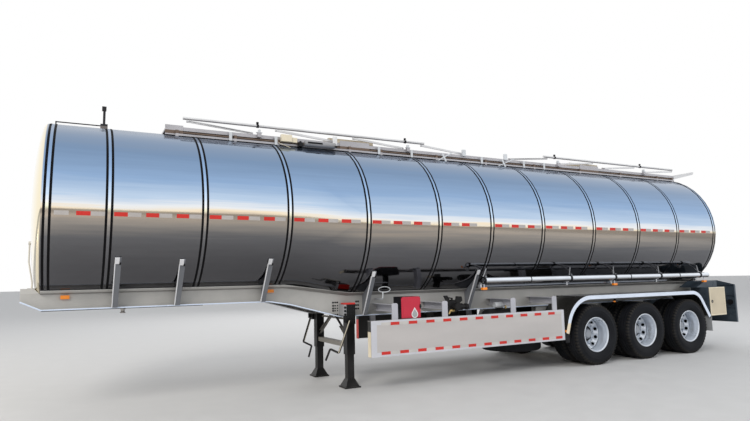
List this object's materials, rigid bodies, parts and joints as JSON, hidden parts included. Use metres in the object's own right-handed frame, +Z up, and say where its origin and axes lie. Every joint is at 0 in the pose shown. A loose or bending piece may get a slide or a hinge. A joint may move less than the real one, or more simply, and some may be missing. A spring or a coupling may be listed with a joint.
{
  "type": "tanker semi-trailer",
  "caption": "Road tanker semi-trailer: polished oval tank on a stepped chassis, with kingpin, landing legs, dual wheels, walkway and folding handrails.",
  "frame": {"origin": "centre of the overall box at ground level", "axes": "+X to the front, towards the kingpin end; +Y to the left side; +Z up"},
  "size_m": [13.2, 2.5, 4.044],
  "materials": {
    "tank_skin": "mirror polished cladding with fine streaks",
    "band_metal": "polished strap with dark sealed edges",
    "rail_paint": "satin pale grey paint, lightly soiled",
    "black_paint": "satin black chassis paint",
    "bare_steel": "machined, greased",
    "polished_metal": "polished",
    "rubber": "matt",
    "tyre_rubber": "matt, lightly dusty",
    "wheel_silver": "silver paint",
    "guard_panel": "brushed, bright",
    "chrome_tube": "bright",
    "walkway_metal": "dull, ribbed",
    "cream_paint": "semi-gloss cream paint",
    "black_plastic": "moulded",
    "red_plastic": "moulded",
    "tail_paint": "dark blue-grey paint",
    "lamp_red": "clear moulded lens",
    "lamp_amber": "clear moulded lens"
  },
  "bodies": {
    "chassis": {"air_reservoirs": "black_paint", "axles": "black_paint", "chassis_rails": "rail_paint", "coupler_plate": "black_paint", "cross_members": "rail_paint", "discharge_pipe": "polished_metal", "extinguisher_box": "black_plastic", "fenders": "polished_metal", "guard_posts": "rail_paint", "kingpin": "bare_steel", "landing_brace": "black_paint", "landing_legs": "black_paint", "leaf_springs": "black_paint", "manhole_boxes": "cream_paint", "marker_lamps": "lamp_amber", "mud_flaps": "rubber", "rear_cabinets": "tail_paint", "rear_ladder": "walkway_metal", "side_guards": "guard_panel", "side_tubes": "chrome_tube", "spare_tyre": "tyre_rubber", "spare_wheel": "wheel_silver", "spring_hangers": "black_paint", "tail_lamps": "lamp_red", "tail_plate": "tail_paint", "tank_bands": "band_metal", "tank_saddles": "rail_paint", "tank_shell": "tank_skin", "torque_rods": "black_paint", "tube_struts": "rail_paint", "vent_riser": "black_paint", "walkway": "walkway_metal"},
    "wheel_left_1": {"wheels_left_1": "wheel_silver", "tyres_left_1": "tyre_rubber"},
    "wheel_left_2": {"wheels_left_2": "wheel_silver", "tyres_left_2": "tyre_rubber"},
    "wheel_left_3": {"wheels_left_3": "wheel_silver", "tyres_left_3": "tyre_rubber"},
    "wheel_right_1": {"wheels_right_1": "wheel_silver", "tyres_right_1": "tyre_rubber"},
    "wheel_right_2": {"wheels_right_2": "wheel_silver", "tyres_right_2": "tyre_rubber"},
    "wheel_right_3": {"wheels_right_3": "wheel_silver", "tyres_right_3": "tyre_rubber"},
    "post_front_1": {"handrail_post_front_1": "walkway_metal"},
    "post_front_2": {"handrail_post_front_2": "walkway_metal"},
    "post_front_3": {"handrail_post_front_3": "walkway_metal"},
    "post_front_4": {"handrail_post_front_4": "walkway_metal"},
    "rail_front": {"handrail_front": "walkway_metal"},
    "post_rear_1": {"handrail_post_rear_1": "walkway_metal"},
    "post_rear_2": {"handrail_post_rear_2": "walkway_metal"},
    "post_rear_3": {"handrail_post_rear_3": "walkway_metal"},
    "post_rear_4": {"handrail_post_rear_4": "walkway_metal"},
    "rail_rear": {"handrail_rear": "walkway_metal"},
    "lid_front": {"manhole_lid_front": "polished_metal"},
    "lid_rear": {"manhole_lid_rear": "polished_metal"},
    "extinguisher_front": {"extinguisher_door": "red_plastic"},
    "cabinet_left": {"cabinet_door_left": "cream_paint"},
    "cabinet_right": {"cabinet_door_right": "cream_paint"}
  },
  "joints": [
    {"name": "spin_left_1", "type": "hinge", "parent": "chassis", "child": "wheel_left_1", "pos_m": [-2.217, 0.94, 0.527], "axis": [0, 1, 0], "continuous": true},
    {"name": "spin_left_2", "type": "hinge", "parent": "chassis", "child": "wheel_left_2", "pos_m": [-3.527, 0.94, 0.527], "axis": [0, 1, 0], "continuous": true},
    {"name": "spin_left_3", "type": "hinge", "parent": "chassis", "child": "wheel_left_3", "pos_m": [-4.837, 0.94, 0.527], "axis": [0, 1, 0], "continuous": true},
    {"name": "spin_right_1", "type": "hinge", "parent": "chassis", "child": "wheel_right_1", "pos_m": [-2.217, -0.94, 0.527], "axis": [0, 1, 0], "continuous": true},
    {"name": "spin_right_2", "type": "hinge", "parent": "chassis", "child": "wheel_right_2", "pos_m": [-3.527, -0.94, 0.527], "axis": [0, 1, 0], "continuous": true},
    {"name": "spin_right_3", "type": "hinge", "parent": "chassis", "child": "wheel_right_3", "pos_m": [-4.837, -0.94, 0.527], "axis": [0, 1, 0], "continuous": true},
    {"name": "fold_front_1", "type": "hinge", "parent": "chassis", "child": "post_front_1", "pos_m": [3.78348, 0.375, 3.78], "axis": [0, -1, 0], "range_deg": [0, 85]},
    {"name": "fold_front_2", "type": "hinge", "parent": "chassis", "child": "post_front_2", "pos_m": [2.48348, 0.375, 3.78], "axis": [0, -1, 0], "range_deg": [0, 85]},
    {"name": "fold_front_3", "type": "hinge", "parent": "chassis", "child": "post_front_3", "pos_m": [1.18348, 0.375, 3.78], "axis": [0, -1, 0], "range_deg": [0, 85]},
    {"name": "fold_front_4", "type": "hinge", "parent": "chassis", "child": "post_front_4", "pos_m": [-0.11652, 0.375, 3.78], "axis": [0, -1, 0], "range_deg": [0, 85]},
    {"name": "rail_front_level", "type": "hinge", "parent": "post_front_1", "child": "rail_front", "pos_m": [4.7, 0.375, 3.86], "axis": [0, -1, 0], "range_deg": [-85, 0]},
    {"name": "fold_rear_1", "type": "hinge", "parent": "chassis", "child": "post_rear_1", "pos_m": [-1.18348, 0.375, 3.78], "axis": [0, 1, 0], "range_deg": [0, 85]},
    {"name": "fold_rear_2", "type": "hinge", "parent": "chassis", "child": "post_rear_2", "pos_m": [-2.44682, 0.375, 3.78], "axis": [0, 1, 0], "range_deg": [0, 85]},
    {"name": "fold_rear_3", "type": "hinge", "parent": "chassis", "child": "post_rear_3", "pos_m": [-3.71015, 0.375, 3.78], "axis": [0, 1, 0], "range_deg": [0, 85]},
    {"name": "fold_rear_4", "type": "hinge", "parent": "chassis", "child": "post_rear_4", "pos_m": [-4.97348, 0.375, 3.78], "axis": [0, 1, 0], "range_deg": [0, 85]},
    {"name": "rail_rear_level", "type": "hinge", "parent": "post_rear_1", "child": "rail_rear", "pos_m": [-2.1, 0.375, 3.86], "axis": [0, 1, 0], "range_deg": [-85, 0]},
    {"name": "lid_front_open", "type": "hinge", "parent": "chassis", "child": "lid_front", "pos_m": [2.4, 0, 3.8033], "axis": [0, 1, 0], "range_deg": [0, 100]},
    {"name": "lid_rear_open", "type": "hinge", "parent": "chassis", "child": "lid_rear", "pos_m": [-2.9, 0, 3.8033], "axis": [0, 1, 0], "range_deg": [0, 100]},
    {"name": "extinguisher_open", "type": "hinge", "parent": "chassis", "child": "extinguisher_front", "pos_m": [1.77, 1.208, 1.164], "axis": [0, 0, -1], "range_deg": [0, 110]},
    {"name": "cabinet_left_open", "type": "hinge", "parent": "chassis", "child": "cabinet_left", "pos_m": [-6.04, 1.25, 0.985], "axis": [0, 0, 1], "range_deg": [0, 110]},
    {"name": "cabinet_right_open", "type": "hinge", "parent": "chassis", "child": "cabinet_right", "pos_m": [-6.04, -1.25, 0.985], "axis": [0, 0, -1], "range_deg": [0, 110]}
  ],
  "couplings": [
    {"joint": "fold_front_2", "follows": "fold_front_1", "ratio": 1},
    {"joint": "fold_front_3", "follows": "fold_front_1", "ratio": 1},
    {"joint": "fold_front_4", "follows": "fold_front_1", "ratio": 1},
    {"joint": "rail_front_level", "follows": "fold_front_1", "ratio": -1},
    {"joint": "fold_rear_2", "follows": "fold_rear_1", "ratio": 1},
    {"joint": "fold_rear_3", "follows": "fold_rear_1", "ratio": 1},
    {"joint": "fold_rear_4", "follows": "fold_rear_1", "ratio": 1},
    {"joint": "rail_rear_level", "follows": "fold_rear_1", "ratio": -1}
  ]
}
